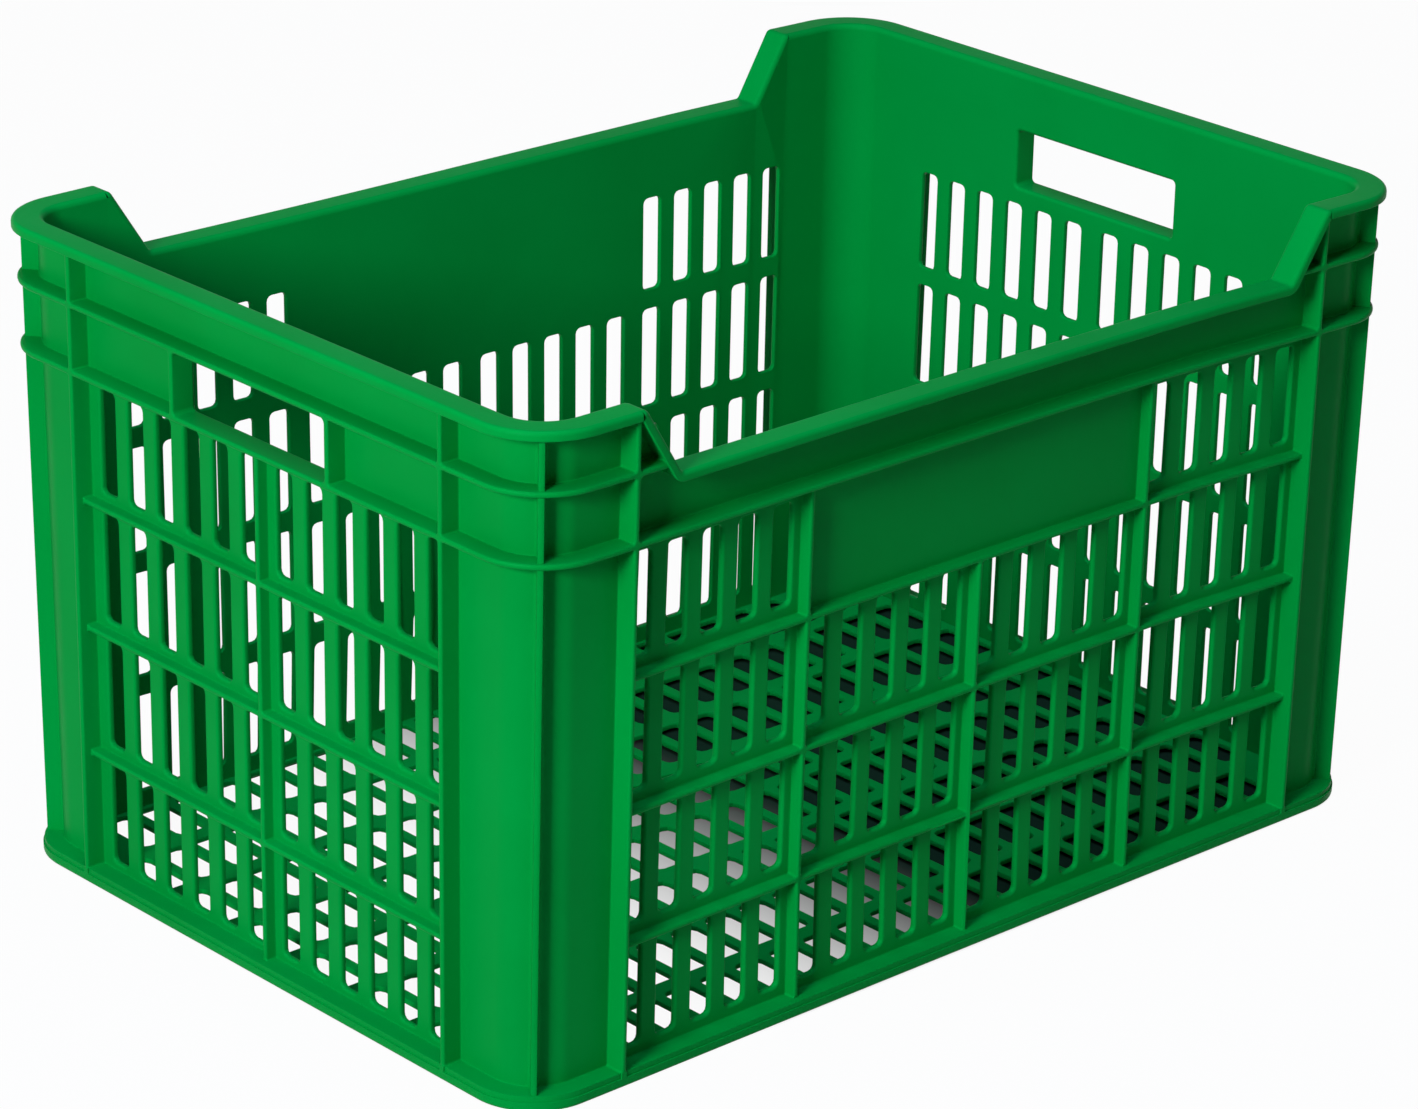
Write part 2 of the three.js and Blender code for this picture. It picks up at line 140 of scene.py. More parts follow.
def closed_mesh(name, stacks):
    """One mesh of closed solids, each a stack of rings. A quad joins each pair of neighbours in
    one ring to the same pair in the next, and the first and last rings are capped."""
    points = []
    faces = []
    start = 0
    for rings in stacks:
        count, size = rings.shape[:2]
        index = start + np.arange(count * size).reshape(count, size)
        here = index[:-1]
        ahead = index[1:]
        quads = [here, np.roll(here, -1, axis=1), np.roll(ahead, -1, axis=1), ahead]
        faces += np.stack(quads, axis=-1).reshape(-1, 4).tolist()
        faces += [index[0, ::-1].tolist(), index[-1].tolist()]
        points.append(rings.reshape(-1, 3))
        start += count * size
    mesh = bpy.data.meshes.new(name)
    mesh.from_pydata(np.concatenate(points).tolist(), [], faces)
    face_outwards(mesh)
    return mesh


def worked(blank, stacks, operation="DIFFERENCE"):
    """The blank mesh with closed solids cut from it, or joined to it."""
    body = bpy.data.objects.new("blank", blank)
    tool = bpy.data.objects.new("tool", closed_mesh("tool", stacks))
    for helper in (body, tool):
        bpy.context.scene.collection.objects.link(helper)
    step = body.modifiers.new("step", "BOOLEAN")
    step.operation = operation
    step.solver = "MANIFOLD"
    step.object = tool
    graph = bpy.context.evaluated_depsgraph_get()
    result = bpy.data.meshes.new_from_object(body.evaluated_get(graph))
    bpy.data.objects.remove(body)
    bpy.data.objects.remove(tool)
    return result


def crease(mesh):
    """Marks the edges whose two faces meet at more than CREASE, and smooths all the rest. The faces'
    corners are sorted by edge, so that the first and last of each edge lie on its two faces."""
    mesh.shade_smooth()
    edge_of_corner = read(mesh.loops, "edge_index", kind=int).ravel()
    sizes = read(mesh.polygons, "loop_total", kind=int).ravel()
    normals = read(mesh.polygons, "normal", 3)
    face_of_corner = np.repeat(np.arange(len(sizes)), sizes)
    order = np.argsort(edge_of_corner, kind="stable")
    edges = np.arange(len(mesh.edges))
    first = np.searchsorted(edge_of_corner[order], edges, "left")
    last = np.searchsorted(edge_of_corner[order], edges, "right") - 1
    one = normals[face_of_corner[order][first]]
    other = normals[face_of_corner[order][last]]
    mesh.edges.foreach_set("use_edge_sharp", (one * other).sum(axis=1) < np.cos(CREASE))


def moulded(name, flat, cuts, place, nodes):
    """Makes a piece of the crate: the flat blank sliced across at each cut, so that it can bend
    there, then each point (along, depth, up) carried to its place."""
    shape = bmesh.new()
    shape.from_mesh(flat)
    for cut in cuts:
        everything = shape.verts[:] + shape.edges[:] + shape.faces[:]
        bmesh.ops.bisect_plane(
            shape, geom=everything, dist=ON_CUT, plane_co=(cut, 0, 0), plane_no=(1, 0, 0),
        )
    mesh = bpy.data.meshes.new(name)
    shape.to_mesh(mesh)
    shape.free()
    placed = np.stack(place(*read(mesh.vertices, "co", 3).T), axis=1) * MM
    mesh.vertices.foreach_set("co", placed.ravel())
    mesh.update()
    face_outwards(mesh)
    crease(mesh)
    piece = bpy.data.objects.new(name, mesh)
    bpy.context.scene.collection.objects.link(piece)
    weighted = piece.modifiers.new("soft_edges", "WEIGHTED_NORMAL")
    weighted.mode = "FACE_AREA_WITH_ANGLE"
    weighted.keep_sharp = True
    mesh.materials.append(green_plastic)
    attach(piece, "root")
    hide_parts(*nodes)


def feed(tree, node, inputs):
    """Sets each of these inputs of a node to its value, or joins it to another node's output."""
    for key, value in inputs.items():
        if isinstance(value, bpy.types.NodeSocket):
            tree.links.new(value, node.inputs[key])
        else:
            node.inputs[key].default_value = value


def add_node(tree, kind, inputs, **settings):
    """New shader node. Its settings are made first, because the names of its inputs follow them."""
    node = tree.nodes.new("ShaderNode" + kind)
    for setting, value in settings.items():
        setattr(node, setting, value)
    feed(tree, node, inputs)
    return node


def ranged(tree, value, source, target, **settings):
    """The value carried from one range to another, and held at both ends."""
    inputs = {"Value": value, "From Min": source[0], "From Max": source[1]}
    inputs |= {"To Min": target[0], "To Max": target[1]}
    return add_node(tree, "MapRange", inputs, **settings).outputs["Result"]


DEEP_GREEN = (0.0, 0.265, 0.031, 1)
LIGHT_GREEN = (0.0, 0.295, 0.037, 1)
GLOSS = (0.34, 0.46)  # least and most roughness
FLOW_MARKS = (9.0, 4.0)  # marks to the metre, and their detail
GLOSS_PATCHES = (60.0, 3.0)
MOULD_GRAIN = (420.0, 2.0)
GRAIN_STRENGTH = 0.08
GRAIN_HEIGHT = 0.0004


def moulded_plastic():
    """Green polyethylene: cloudy flow marks in the colour, a faintly uneven gloss and the fine
    orange-peel grain of the mould."""
    material = bpy.data.materials.new("green_plastic")
    material.use_nodes = True
    tree = material.node_tree
    place = add_node(tree, "TexCoord", {}).outputs["Object"]

    def noise(scale, detail):
        inputs = {"Vector": place, "Scale": scale, "Detail": detail}
        return add_node(tree, "TexNoise", inputs).outputs["Fac"]

    colour = add_node(tree, "ValToRGB", {"Fac": noise(*FLOW_MARKS)})
    shades = colour.color_ramp.elements
    shades[0].position = 0.3
    shades[0].color = DEEP_GREEN
    shades[1].position = 0.7
    shades[1].color = LIGHT_GREEN
    bump = {"Strength": GRAIN_STRENGTH, "Distance": GRAIN_HEIGHT, "Height": noise(*MOULD_GRAIN)}
    feed(tree, tree.nodes["Principled BSDF"], {
        "Base Color": colour.outputs["Color"],
        "Roughness": ranged(tree, noise(*GLOSS_PATCHES), (0, 1), GLOSS),
        "Normal": add_node(tree, "Bump", bump).outputs["Normal"],
        "Specular IOR Level": 0.03,
        "Specular Tint": (0.2, 1.0, 0.7, 1),
    })
    return material


green_plastic = moulded_plastic()

floor_low, floor_high = crate_box("floor_grid")
FLOOR_CORNER = 25.2
FLOOR_HOLE = np.array([16.5, 38.0])
FLOOR_WEB = np.array([6.9, 10.4])  # plastic from one hole to the next
FLOOR_HOLES = np.array([24, 8])
FLOOR_HOLE_CORNER = 3.5
UNDERSIDE_ROUND = 0.5
TOPSIDE_ROUND = 1.1


def floor_blank():
    """Plate minus a grid of holes. A hole that reaches into the square round one of the plate's
    rounded corners is left out."""
    half = floor_high[:2]
    thickness = floor_high[2] - floor_low[2]
    plate = rings_of(centred(half), FLOOR_CORNER, [(0, 0), (thickness, 0)], steps=8)
    counts = np.stack(np.meshgrid(*map(np.arange, FLOOR_HOLES), indexing="ij"), axis=-1).reshape(-1, 2)
    centres = (counts - (FLOOR_HOLES - 1) / 2) * (FLOOR_HOLE + FLOOR_WEB)
    in_corner = (np.abs(centres) + FLOOR_HOLE / 2 > half - FLOOR_CORNER).all(axis=1)
    profile = through(thickness, UNDERSIDE_ROUND, TOPSIDE_ROUND, steps=(1, 2))
    hole = rings_of(centred(FLOOR_HOLE / 2), FLOOR_HOLE_CORNER, profile, steps=2)
    holes = [hole + (along, 0, across) for along, across in centres[~in_corner]]
    return worked(closed_mesh("floor_plate", [plate]), holes)


def place_floor(along, depth, across):
    """Lying flat: along is x, across is y and the depth is measured up from the underside."""
    return along, across, floor_low[2] + depth


moulded("floor", floor_blank(), [], place_floor, ["floor_grid"])

# Long walls: a skin with upright and level ribs standing out of it, slotted in every panel but
# the plain label panel at the top. The rim dips between the corners, with a lip under its edge.
# As they cooled, the real walls drew in along their middle and the right end sank a little.
SKIN = 3.5
WALL = 14.5  # from the inner face to the edge of a post rib
GRID_DEPTH = 9.9  # from the inner face to the edge of a rib between the panels
RIB = 3.0
LONG_DRAFT = 0.015  # lean outwards for each millimetre of height
FOOT_ROUNDS = (1.0, 2.0)  # on the inner and the outer edge of the foot

RIM_TOP = crate_box("left_rim")[1][2]
LOW_RIM = crate_box("front_low_rim")[1][2]
RIM_DEPTH = 16.5
FLANGE = 3.0
SEAT = 2.9  # from the top of the rim to the wall's own top, inside the flange
LIP = 5.0
LIP_THICKNESS = 2.0
RIM_ROUNDS = np.array([SHARPEST, 0.5, 0.5, 0.6, 2.3, 2.8])  # at the corners of the rim's section

LONG_HALF = crate_box("front_grille")[1][0]
LONG_SEAM = LONG_HALF + RIB / 2  # in the middle of a post rib, where two pieces meet
LONG_INNER = -crate_box("front_base_flange")[1][1]
BASE_TOP = crate_box("front_base_flange")[1][2]
BASE_STEP = 3.0
BASE_STEP_DEPTH = 0.8
BASE_STEP_CORNER = 0.3
BAND_RIB = crate_box("front_upper_band")[0][2]
GRIP_RIB = crate_box("left_grip_rail")[0][2]
PANEL_FOOT = crate_box("front_label_panel")[0][2]
ROWS = 4
ROW_PITCH = BAND_RIB - PANEL_FOOT + RIB
BAY = LONG_SEAM / 2
LONG_BAYS = (-2, -1, 0, 1)  # where each starts, in bays from the middle
LABEL_BAYS = (-1, 0)  # the two that the label panel spans in the top row
BAND_CORNER = 2.0
BAND_BEND = 0.3

SLOT = 12.5
SLOT_SILL = 5.8
SLOT_HEADS = (7.2, 2.8, 2.8, 2.8)  # plastic over the slots of each row, from the top down
SLOT_CORNER = 3.0
SLOT_INNER_ROUND = 0.9
SLOT_OUTER_ROUND = 1.3
SILL_SHARE = 1.25  # how much farther the outer rounding spreads on the sill
LONG_SLOTS = 5
LONG_BAR = 10.2

EDGE_ROUND = 1.2
ROOT = 1.0
POCKET_CORNER = 1.2
CLEAR = 0.5  # how far a cutter runs on where the plastic is cut away already
NEAR = 1.0  # a side of a panel that is nearer to the field's edge than this lies on it

DIP_RUN = 23.0
DIP_SLOPE = (RIM_TOP - LOW_RIM) / DIP_RUN
DIP_ANGLE = np.arctan2(RIM_TOP - LOW_RIM, DIP_RUN)
DIP_START = LONG_HALF - FLANGE * np.tan(DIP_ANGLE / 2)
DIP_END = DIP_START - DIP_RUN
DIP_RADII = np.array([SHARPEST, 3.5, 3.0, 3.0, 3.5, SHARPEST, SHARPEST, SHARPEST])
DIP_SIDES = np.array([1, 1, 1, 1, 1, 0, 0, 0])  # the sides of the opening that the rim lines
DIP_STEPS = 5  # in each bend of the rim
OVER_RIM = 60.0  # how far the opening over the low rim reaches above the high one

FRONT_BOW = 2.2
BACK_BOW = 5.1
BOW_AT_FOOT = 0.3
BOW_HEIGHT = 70.0
SINK = 2.2
SINK_START = 140.0
SINK_RUN = 140.0
SINK_HEIGHT = 150.0
LEAN_IN = 4.8
LEAN_START = 60.0
LEAN_RUN = 130.0
LEAN_HEIGHT = 300.0
LONG_STRETCHES = 18  # flat stretches that follow the bow

row_heads = BAND_RIB - np.arange(ROWS) * ROW_PITCH
row_feet = np.append(row_heads[1:] + RIB, BASE_TOP)


def root_fillet(floor, radius, steps=2):
    """Profile of the fillet round a pocket's floor. At angle a the depth is past the floor by
    radius (1 - cos a) and the outline is drawn in by radius (1 - sin a)."""
    angles = np.linspace(0, np.pi / 2, steps + 1)
    return [(floor + radius * (1 - np.cos(a)), -radius * (1 - np.sin(a))) for a in angles]


def plank(half, top):
    """Blank of a wall as thick as its ribs are deep, with its two bottom edges rounded."""
    section = [(0, 0), (WALL, 0), (WALL, top), (0, top)]
    outline = rounded(section, np.array([*FOOT_ROUNDS, SHARPEST, SHARPEST]))
    ends = [np.insert(outline, 0, along, axis=1) for along in (-half, half)]
    return np.array(ends)


def step_cutter(low, high):
    """Groove that leaves the base flange one step shallower under the panels."""
    corners = rectangle(low, high, BASE_TOP - BASE_STEP, BASE_TOP + CLEAR)
    return rings_of(corners, BASE_STEP_CORNER, [(WALL - BASE_STEP_DEPTH, 0), (WALL + PAST, 0)])


def field_cutter(low, high):
    """Shallow recess over a whole field of panels, which sets the ribs inside it back."""
    profile = [(GRID_DEPTH, 0)] + rounded_edge(WALL, EDGE_ROUND) + [(WALL + PAST, EDGE_ROUND)]
    return rings_of(rectangle(low, high, BASE_TOP, BAND_RIB), POCKET_CORNER, profile)


def panel_cutter(left, right, low, high, half):
    """Pocket between ribs. A side on the edge of the field runs up straight, and one on a rib
    inside the field is rounded at the rib's edge."""
    inside = [low > BASE_TOP + NEAR, right < half - NEAR, high < BAND_RIB - NEAR, left > NEAR - half]
    inside = np.array(inside, float)
    profile = root_fillet(SKIN, ROOT) + rounded_edge(GRID_DEPTH, EDGE_ROUND, sides=inside)
    profile += [(GRID_DEPTH + CLEAR, EDGE_ROUND * inside)]
    return rings_of(rectangle(left, right, low, high), POCKET_CORNER, profile)


def deep_cutter(corners, radius=POCKET_CORNER):
    """Pocket between ribs of the full depth, rounded at their edges."""
    profile = root_fillet(SKIN, ROOT) + rounded_edge(WALL, EDGE_ROUND) + [(WALL + PAST, EDGE_ROUND)]
    return rings_of(corners, radius, profile)


def slot_cutter(left, row, sill=SLOT_SILL, heads=SLOT_HEADS):
    """Slot through the skin. Its edges are rounded outside, most of all at the sill, and inside."""
    corners = rectangle(left, left + SLOT, row_feet[row] + sill, row_heads[row] - heads[row])
    sides = np.array([SILL_SHARE, 1, 1, 1])
    profile = through(SKIN, SLOT_INNER_ROUND, SLOT_OUTER_ROUND, steps=(2, 3), sides=sides)
    return rings_of(corners, SLOT_CORNER, profile)


def rim_section():
    """Flange with the lip under its outer edge, as (depth, height below the top)."""
    inner = RIM_DEPTH - LIP_THICKNESS
    under = [(0, -FLANGE), (inner, -FLANGE), (inner, -LIP), (RIM_DEPTH, -LIP)]
    return rounded(under + [(RIM_DEPTH, 0), (0, 0)], RIM_ROUNDS, steps=4)


def dip_corners():
    """The opening over the low rim, as a polygon. Its first six corners lie on the rim's top."""
    high = RIM_TOP + OVER_RIM
    return [
        (-LONG_SEAM, RIM_TOP), (-DIP_START, RIM_TOP), (-DIP_END, LOW_RIM),
        (DIP_END, LOW_RIM), (DIP_START, RIM_TOP), (LONG_SEAM, RIM_TOP),
        (LONG_SEAM, high), (-LONG_SEAM, high),
    ]


def dipped_rim():
    """The rim's section carried along the rim's top, from the end of the opening's first corner to
    the start of its sixth. A point of the section at height h lies on that line moved down by -h."""
    sixth = DIP_SIDES.sum() * (DIP_STEPS + 1)
    lines = []
    for depth, height in rim_section():
        line = rounded(dip_corners(), DIP_RADII, -height * DIP_SIDES, DIP_STEPS)
        lines.append(np.insert(line[DIP_STEPS:sixth + 1], 1, depth, axis=1))
    return np.array(lines).transpose(1, 0, 2)


def long_blank():
    """Plank minus the opening over the low rim, the base's step, the field of panels and all the
    pockets and slots, with the dipped rim joined on."""
    blank = closed_mesh("long_plank", [plank(LONG_SEAM, RIM_TOP - SEAT)])
    dip_profile = [(depth, SEAT * DIP_SIDES) for depth in (-PAST, WALL + PAST)]
    blank = worked(blank, [rings_of(dip_corners(), DIP_RADII, dip_profile)])
    blank = worked(blank, [step_cutter(-LONG_HALF, LONG_HALF)])
    blank = worked(blank, [field_cutter(-LONG_HALF, LONG_HALF)])
    pitch = SLOT + LONG_BAR
    margin = (BAY - LONG_SLOTS * pitch + LONG_BAR) / 2
    pockets = []
    slots = []
    for row in range(ROWS):
        for bay in LONG_BAYS:
            if row == 0 and bay in LABEL_BAYS:
                continue
            left = bay * BAY + RIB / 2
            right = (bay + 1) * BAY - RIB / 2
            pockets.append(panel_cutter(left, right, row_feet[row], row_heads[row], LONG_HALF))
            starts = bay * BAY + margin + np.arange(LONG_SLOTS) * pitch
            slots += [slot_cutter(start, row) for start in starts]
    pockets.append(panel_cutter(RIB / 2 - BAY, BAY - RIB / 2, PANEL_FOOT, BAND_RIB, LONG_HALF))
    foot = LOW_RIM - FLANGE
    dip_foot = DIP_END + FLANGE * np.tan(DIP_ANGLE / 2)
    stub = dip_foot + (GRIP_RIB - foot) / DIP_SLOPE
    band = [
        (-LONG_HALF, BAND_RIB + RIB), (LONG_HALF, BAND_RIB + RIB), (LONG_HALF, GRIP_RIB), (stub, GRIP_RIB),
        (dip_foot, foot), (-dip_foot, foot), (-stub, GRIP_RIB), (-LONG_HALF, GRIP_RIB),
    ]
    band_radii = np.array([BAND_CORNER] * 3 + [BAND_BEND] * 4 + [BAND_CORNER])
    gusset_foot = dip_foot + (GRIP_RIB + RIB - foot) / DIP_SLOPE
    gusset = [(gusset_foot, GRIP_RIB + RIB), (LONG_HALF, GRIP_RIB + RIB), (LONG_HALF, RIM_TOP - FLANGE)]
    mirrored = [(-along, up) for along, up in gusset[::-1]]
    pockets += [deep_cutter(band, band_radii), deep_cutter(gusset), deep_cutter(mirrored)]
    blank = worked(blank, pockets)
    blank = worked(blank, slots)
    return worked(blank, [dipped_rim()], "UNION")


def smoothstep(x):
    """0 below 0, 1 above 1 and 3 x^2 - 2 x^3 between."""
    x = np.clip(x, 0, 1)
    return x * x * (3 - 2 * x)


def settled(x, y, z):
    """The set that the crate took as it cooled: past the middle it sinks by up to SINK towards the
    right end, and the back right corner leans in by up to LEAN_IN at the rim."""
    sunk = SINK * smoothstep((x - SINK_START) / SINK_RUN) * smoothstep(z / SINK_HEIGHT)
    leant = LEAN_IN * smoothstep(x / LONG_SEAM) * smoothstep((y - LEAN_START) / LEAN_RUN)
    leant = leant * smoothstep(z / LEAN_HEIGHT)
    return x, y - leant, z - sunk


def place_long(side, bow):
    """Upright along x, leaning out with height. With u = x / half the wall's length, the middle is
    drawn in by the wall's bow times 1 - u^2, less near the base, which the floor holds out."""
    def place(along, depth, up):
        middle = np.clip(1 - (along / LONG_SEAM) ** 2, 0, 1)
        share = BOW_AT_FOOT + (1 - BOW_AT_FOOT) * smoothstep(up / BOW_HEIGHT)
        out = LONG_INNER + depth + LONG_DRAFT * up - bow * middle * share
        return settled(along, side * out, up)
    return place


long_flat = long_blank()
long_cuts = np.linspace(-LONG_SEAM, LONG_SEAM, LONG_STRETCHES + 1)[1:-1]
LONG_PARTS = ("base_flange", "grille", "label_panel", "upper_band", "low_rim")
for name, side, bow in (("front", -1, FRONT_BOW), ("back", 1, BACK_BOW)):
    replaced = [f"{name}_{part}" for part in LONG_PARTS]
    moulded(f"{name}_wall", long_flat, long_cuts, place_long(side, bow), replaced)

# End walls: shorter and straighter, in two bays with six slots to a row. A hand hole lined with
# a rib opens through the band under the rim, between two plain cheeks.
END_HALF = crate_box("left_grille")[1][1]
END_SEAM = END_HALF + RIB / 2
END_INNER = -crate_box("left_base_flange")[1][0]
END_DRAFT = 0.005
END_SLOTS = 6
END_BAR = 10.4
END_SILL = 3.6
END_HEADS = (6.6, 4.0, 4.0, 4.0)
END_MARGIN = 7.5  # from the middle of the wall to the nearest slot
HAND_HALF = crate_box("left_hand_hole_back_cheek")[0][1]
HAND_CORNER = 2.5
HAND_ROUND = 2.0  # on the edge inside the crate
END_STRETCHES = 6


def straight_rim(low, high):
    """The rim's section carried straight along from low to high."""
    ends = [np.insert(rim_section() + (0, RIM_TOP), 0, along, axis=1) for along in (low, high)]
    return np.array(ends)


def end_blank():
    """Plank minus the base's step, the field of panels, all the pockets and slots and the hand
    hole, with a straight rim joined on."""
    blank = closed_mesh("end_plank", [plank(END_SEAM, RIM_TOP - SEAT)])
    blank = worked(blank, [step_cutter(-END_HALF, END_HALF)])
    blank = worked(blank, [field_cutter(-END_HALF, END_HALF)])
    pitch = SLOT + END_BAR
    reach = END_SLOTS * pitch - END_BAR
    pockets = []
    slots = []
    for row in range(ROWS):
        for left, right in ((RIB / 2, END_HALF), (-END_HALF, -RIB / 2)):
            pockets.append(panel_cutter(left, right, row_feet[row], row_heads[row], END_HALF))
        for first in (END_MARGIN, -END_MARGIN - reach):
            starts = first + np.arange(END_SLOTS) * pitch
            slots += [slot_cutter(start, row, END_SILL, END_HEADS) for start in starts]
    cheek = (BAND_RIB + RIB, GRIP_RIB)
    pockets.append(deep_cutter(rectangle(HAND_HALF + RIB, END_HALF, *cheek)))
    pockets.append(deep_cutter(rectangle(-END_HALF, -HAND_HALF - RIB, *cheek)))
    pockets.append(deep_cutter(rectangle(-END_HALF, END_HALF, GRIP_RIB + RIB, RIM_TOP - FLANGE)))
    hand_profile = through(WALL, HAND_ROUND, EDGE_ROUND)
    hand = rings_of(rectangle(-HAND_HALF, HAND_HALF, *cheek), HAND_CORNER, hand_profile, steps=5)
    blank = worked(blank, pockets)
    blank = worked(blank, slots + [hand])
    return worked(blank, [straight_rim(-END_SEAM, END_SEAM)], "UNION")


def place_end(side):
    """Upright along y, leaning out with height."""
    def place(along, depth, up):
        return settled(side * (END_INNER + depth + END_DRAFT * up), along, up)
    return place


end_flat = end_blank()
end_cuts = np.linspace(-END_SEAM, END_SEAM, END_STRETCHES + 1)[1:-1]
END_PARTS = ("base_flange", "grille", "hand_hole_sill", "hand_hole_back_cheek")
END_PARTS += ("hand_hole_front_cheek", "grip_rail", "rim")
for name, side in (("left", -1), ("right", 1)):
    replaced = [f"{name}_{part}" for part in END_PARTS]
    moulded(f"{name}_end", end_flat, end_cuts, place_end(side), replaced)

# Corner posts: a plain skin folded round each corner between two post ribs, tied by two level
# ribs and stiffened by one more down the bend. The rim runs round them at its full height.
CORNER_RADIUS = 36.0  # of the bend, at the edges of the ribs
CORNER_LEG = 26.0  # straight skin on each side of the bend
BEND = CORNER_RADIUS * np.pi / 2
BEND_STRETCHES = 20
CORNER_RUN = 2 * CORNER_LEG + BEND
CORNER_X = END_INNER + WALL - CORNER_RADIUS
CORNER_Y = LONG_INNER + WALL - CORNER_RADIUS
BEND_RIB = 3.3
BEND_RIB_TOP = 13.0  # from the inner face
BEND_RIB_ROOT = 2.0  # how far the rib's foot reaches down into the base
BEND_RIB_SHIFT = 2.6  # from the middle of the bend towards the long wall
BEND_RIB_FLANK = np.array([  # depth, and how far the flank stands out from half the rib's width
    (SKIN - 1, 1.2), (SKIN, 1.2), (SKIN + 0.5, 0.5), (SKIN + 1.2, 0),
    (BEND_RIB_TOP - 0.7, 0), (BEND_RIB_TOP - 0.2, -0.3), (BEND_RIB_TOP, -1.0),
])


def bend_rib():
    """Rib down the middle of the bend: rings (along, depth, up) at its foot and its head. Its sizes
    hold once it is folded, so a flat width is the folded one times the radius of the bend over the
    radius at that depth."""
    depths, spread = BEND_RIB_FLANK.T
    halves = (BEND_RIB / 2 + spread) * CORNER_RADIUS / (CORNER_RADIUS - WALL + depths)
    along = CORNER_RUN / 2 - BEND_RIB_SHIFT + np.concatenate([halves, -halves[::-1]])
    outline = np.stack([along, np.concatenate([depths, depths[::-1]])], axis=1)
    ends = [np.insert(outline, 2, up, axis=1) for up in (BASE_TOP - BEND_RIB_ROOT, RIM_TOP - SEAT)]
    return np.array(ends)


def corner_blank():
    """Plank as long as the corner's way round, minus the base's step and three pockets between the
    level ribs, with the rib of the bend and a straight rim joined on."""
    unfolded = plank(CORNER_RUN / 2, RIM_TOP - SEAT) + (CORNER_RUN / 2, 0, 0)
    left = RIB / 2
    right = CORNER_RUN - RIB / 2
    blank = worked(closed_mesh("corner_plank", [unfolded]), [step_cutter(left, right)])
    rows = ((BASE_TOP, BAND_RIB), (BAND_RIB + RIB, GRIP_RIB), (GRIP_RIB + RIB, RIM_TOP - FLANGE))
    blank = worked(blank, [deep_cutter(rectangle(left, right, low, high)) for low, high in rows])
    blank = worked(blank, [bend_rib()], "UNION")
    return worked(blank, [straight_rim(0, CORNER_RUN)], "UNION")


def place_corner(side_x, side_y):
    """Folded round the corner. The angle is (along - leg) / radius, held between 0 and a right
    angle, and each point lies at that angle, its own depth out from the inner radius. Each wall's
    lean dies away across the other wall's leg, so that the seams stay upright."""
    def place(along, depth, up):
        angle = np.clip((along - CORNER_LEG) / CORNER_RADIUS, 0, np.pi / 2)
        reach = CORNER_RADIUS - WALL + depth
        lean_x = END_DRAFT * up * np.clip((along - RIB / 2) / (CORNER_LEG - RIB / 2), 0, 1)
        lean_y = LONG_DRAFT * up * np.clip((CORNER_RUN - RIB / 2 - along) / (CORNER_LEG - RIB / 2), 0, 1)
        x = CORNER_X + reach * np.sin(angle) + np.minimum(along - CORNER_LEG, 0) + lean_x
        y = CORNER_Y + reach * np.cos(angle) - np.maximum(along - CORNER_LEG - BEND, 0) + lean_y
        return settled(side_x * x, side_y * y, up)
    return place


corner_flat = corner_blank()
bend_cuts = CORNER_LEG + np.linspace(0, BEND, BEND_STRETCHES + 1)
corner_cuts = np.concatenate([[CORNER_LEG / 2], bend_cuts, [CORNER_RUN - CORNER_LEG / 2]])
for depth_name, side_y in (("front", -1), ("back", 1)):
    for side_name, side_x in (("left", -1), ("right", 1)):
        name = f"{depth_name}_{side_name}"
        replaced = [f"{name}_corner_post", f"{name}_rim_shoulder"]
        moulded(f"{name}_corner", corner_flat, corner_cuts, place_corner(side_x, side_y), replaced)

# Stage: a plain pale floor under a white studio sky, a key softbox on the left, a wide one
# overhead and a weak fill at the front. The camera looks from the photograph's angle.
WHITE = (1, 1, 1, 1)
BACKDROP_EDGE = (0.12, 0.3)  # heights in the sky, as sines, between which the white ends
STUDIO_DARK = 0.03
STAGE_REACH = 6.0
PALE = (0.5, 0.5, 0.5, 1)
# painted shade: the ground under the crate is painted near-black green, in place of the crate's shadow and its
# green bounce light
PAINTED_SHADE_UNDER_CRATE = (0.012, 0.03, 0.014, 1)
FOOT_FADE = 0.012  # width of the strip inside the foot's outline where the painted shade ends
PALE_SHARE = 0.97  # of plain white in what the camera sees beyond the foot
PAINTED_LIGHT_SIDE = (0.05, -0.16)  # x where the painted light under the crate starts, and where it is full
PAINTED_LIGHT_SHARE = 0.95  # of plain white there, as painted light
CRATE_MIDDLE = (0, 0, 0.17)
AZIMUTH, ELEVATION, ROLL = np.radians([-42.655, 21.987, 1.121])
CAMERA_PLACE = (-1.72029, -1.87119, 1.17698)
SENSOR = 36  # mm
LENS = 133.27  # mm


def studio_white(tree, lit, white):
    """The white shader to the camera, to reflections and through clear parts, and the lit one to
    every other ray."""
    rays = add_node(tree, "LightPath", {}).outputs
    seen = rays["Is Camera Ray"]
    for kind in ("Is Glossy Ray", "Is Transmission Ray"):
        seen = add_node(tree, "Math", {0: seen, 1: rays[kind]}, operation="MAXIMUM").outputs[0]
    return add_node(tree, "MixShader", {"Fac": seen, 1: lit, 2: white}).outputs[0]


def studio_sky():
    """White up to a little above the horizon, where the backdrop ends, and then the dark studio
    above it, which is what the top of the rim mirrors."""
    world = bpy.data.worlds.new("studio")
    world.use_nodes = True
    bpy.context.scene.world = world
    tree = world.node_tree
    dark = tree.nodes["Background"]
    feed(tree, dark, {"Color": WHITE, "Strength": STUDIO_DARK})
    direction = add_node(tree, "TexCoord", {}).outputs["Generated"]
    height = add_node(tree, "SeparateXYZ", {0: direction}).outputs["Z"]
    fall = ranged(tree, height, BACKDROP_EDGE, (1, STUDIO_DARK))
    white = add_node(tree, "Background", {"Color": WHITE, "Strength": fall})
    shade = studio_white(tree, dark.outputs[0], white.outputs[0])
    feed(tree, tree.nodes["World Output"], {"Surface": shade})


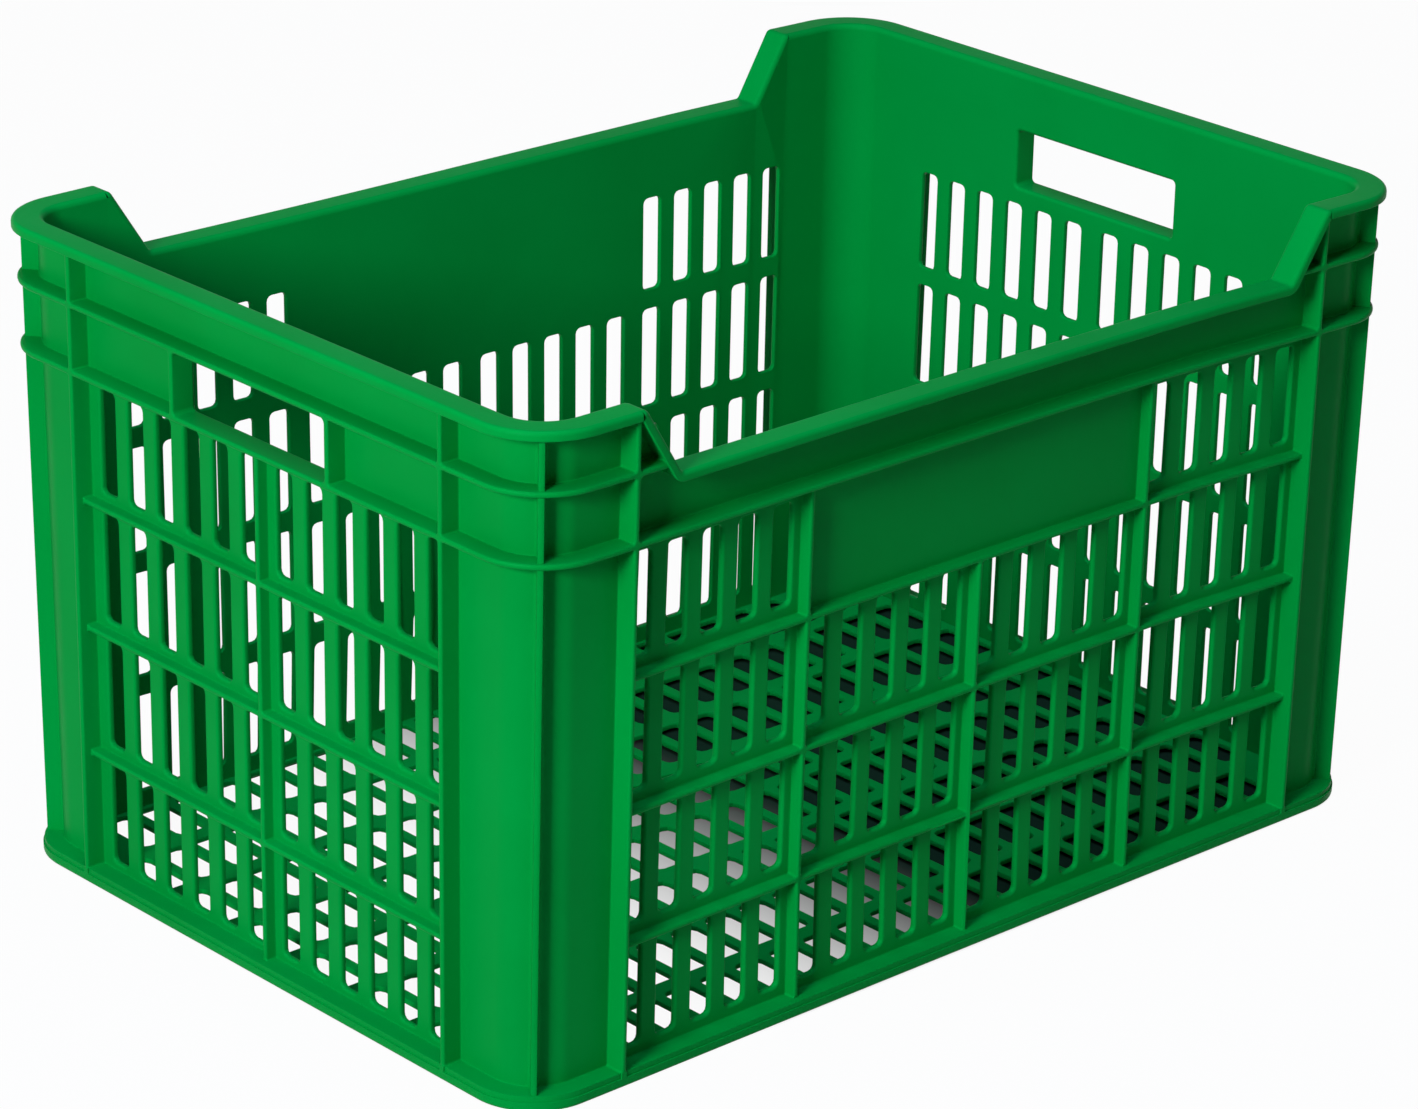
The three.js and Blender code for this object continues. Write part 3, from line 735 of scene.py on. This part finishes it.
def pale_floor():
    """Pale paint, to the camera nearly plain white. Under the crate its paint is a dark green painted shade,
    standing in for the crate's shadow, and it fades towards the left, where a painted light comes in.

    The reach is the length of |place| - (middle of the corner's arc), with each part held at 0 or
    more, so that it is the corner's radius all along the outline of the foot."""
    material = bpy.data.materials.new("pale_floor")
    material.use_nodes = True
    tree = material.node_tree
    place = add_node(tree, "TexCoord", {}).outputs["Object"]
    corner = CORNER_RADIUS * MM
    arc_middle = (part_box("right_base_flange")[1][0] - corner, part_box("back_base_flange")[1][1] - corner, 0)
    zero = (0, 0, 0)
    past = place
    for operation, other in (("ABSOLUTE", zero), ("SUBTRACT", arc_middle), ("MAXIMUM", zero)):
        past = add_node(tree, "VectorMath", {0: past, 1: other}, operation=operation).outputs[0]
    reach = add_node(tree, "VectorMath", {0: past}, operation="LENGTH").outputs["Value"]
    away = ranged(tree, reach, (corner - FOOT_FADE, corner), (0, PALE_SHARE))
    x = add_node(tree, "SeparateXYZ", {0: place}).outputs["X"]
    # painted light: plain white to the camera under the crate's left end, where light would come in through
    # the end wall's slots
    lit = ranged(tree, x, PAINTED_LIGHT_SIDE, (0, PAINTED_LIGHT_SHARE), interpolation_type="SMOOTHSTEP")
    bright = add_node(tree, "Math", {0: away, 1: lit}, operation="MAXIMUM")
    # painted shade: dark paint under the crate, pale beyond its foot
    colour = add_node(tree, "Mix", {"Factor": away, "A": PAINTED_SHADE_UNDER_CRATE, "B": PALE}, data_type="RGBA")
    paint = tree.nodes["Principled BSDF"]
    feed(tree, paint, {"Base Color": colour.outputs["Result"], "Roughness": 0.9, "Specular IOR Level": 0})
    white = add_node(tree, "Emission", {"Color": WHITE, "Strength": 1})
    seen = {"Fac": bright.outputs[0], 1: paint.outputs[0], 2: white.outputs[0]}
    shade = studio_white(tree, paint.outputs[0], add_node(tree, "MixShader", seen).outputs[0])
    feed(tree, tree.nodes["Material Output"], {"Surface": shade})
    return material


def studio_floor():
    """Square of ground round the crate, which is no part of it."""
    mesh = bpy.data.meshes.new("stage_floor")
    mesh.from_pydata([(x, y, 0) for x, y in centred((STAGE_REACH, STAGE_REACH))], [], [(0, 1, 2, 3)])
    mesh.materials.append(pale_floor())
    ground = bpy.data.objects.new("stage_floor", mesh)
    bpy.context.scene.collection.objects.link(ground)


def stand(thing, right, upward, back, place):
    """Puts a lamp or the camera at its place, turned to these three directions."""
    turned = np.eye(4)
    turned[:3] = np.stack([right, upward, back, place], axis=1)
    thing.matrix_world = Matrix(turned.tolist())
    bpy.context.scene.collection.objects.link(thing)


def softbox(name, place, size, power, colour):
    """Square lamp that faces the middle of the crate."""
    light = bpy.data.lights.new(name, "AREA")
    light.color = colour
    light.shape = "SQUARE"
    light.size = size
    light.energy = power
    back = np.array(place, float) - CRATE_MIDDLE
    back /= np.linalg.norm(back)
    right = np.cross((0, 0, 1), back)
    right /= np.linalg.norm(right)
    stand(bpy.data.objects.new(name, light), right, np.cross(back, right), back, place)


def photo_camera():
    """The camera looks back along (sin a cos e, -cos a cos e, sin e), rolled about that line."""
    a, e, r = AZIMUTH, ELEVATION, ROLL
    back = np.array([np.sin(a) * np.cos(e), -np.cos(a) * np.cos(e), np.sin(e)])
    level = np.array([np.cos(a), np.sin(a), 0])
    rise = np.cross(level, -back)
    right = level * np.cos(r) + rise * np.sin(r)
    upward = rise * np.cos(r) - level * np.sin(r)
    camera = bpy.data.objects.new("camera", bpy.data.cameras.new("camera"))
    camera.data.lens = LENS
    camera.data.sensor_width = SENSOR
    stand(camera, right, upward, back, CAMERA_PLACE)
    bpy.context.scene.camera = camera


studio_sky()
studio_floor()
softbox("key_softbox", (-2.65, -0.88, 1.4), size=0.7, power=76, colour=(0.85, 1.0, 1.2))
softbox("top_softbox", (-0.5, -0.25, 2.55), size=1.4, power=28, colour=(0.75, 1.05, 1.8))
softbox("front_fill", (1.4, -2.4, 0.9), size=1.6, power=3, colour=(1.0, 1.0, 1.0))
photo_camera()
bpy.context.scene.view_settings.view_transform = "Standard"
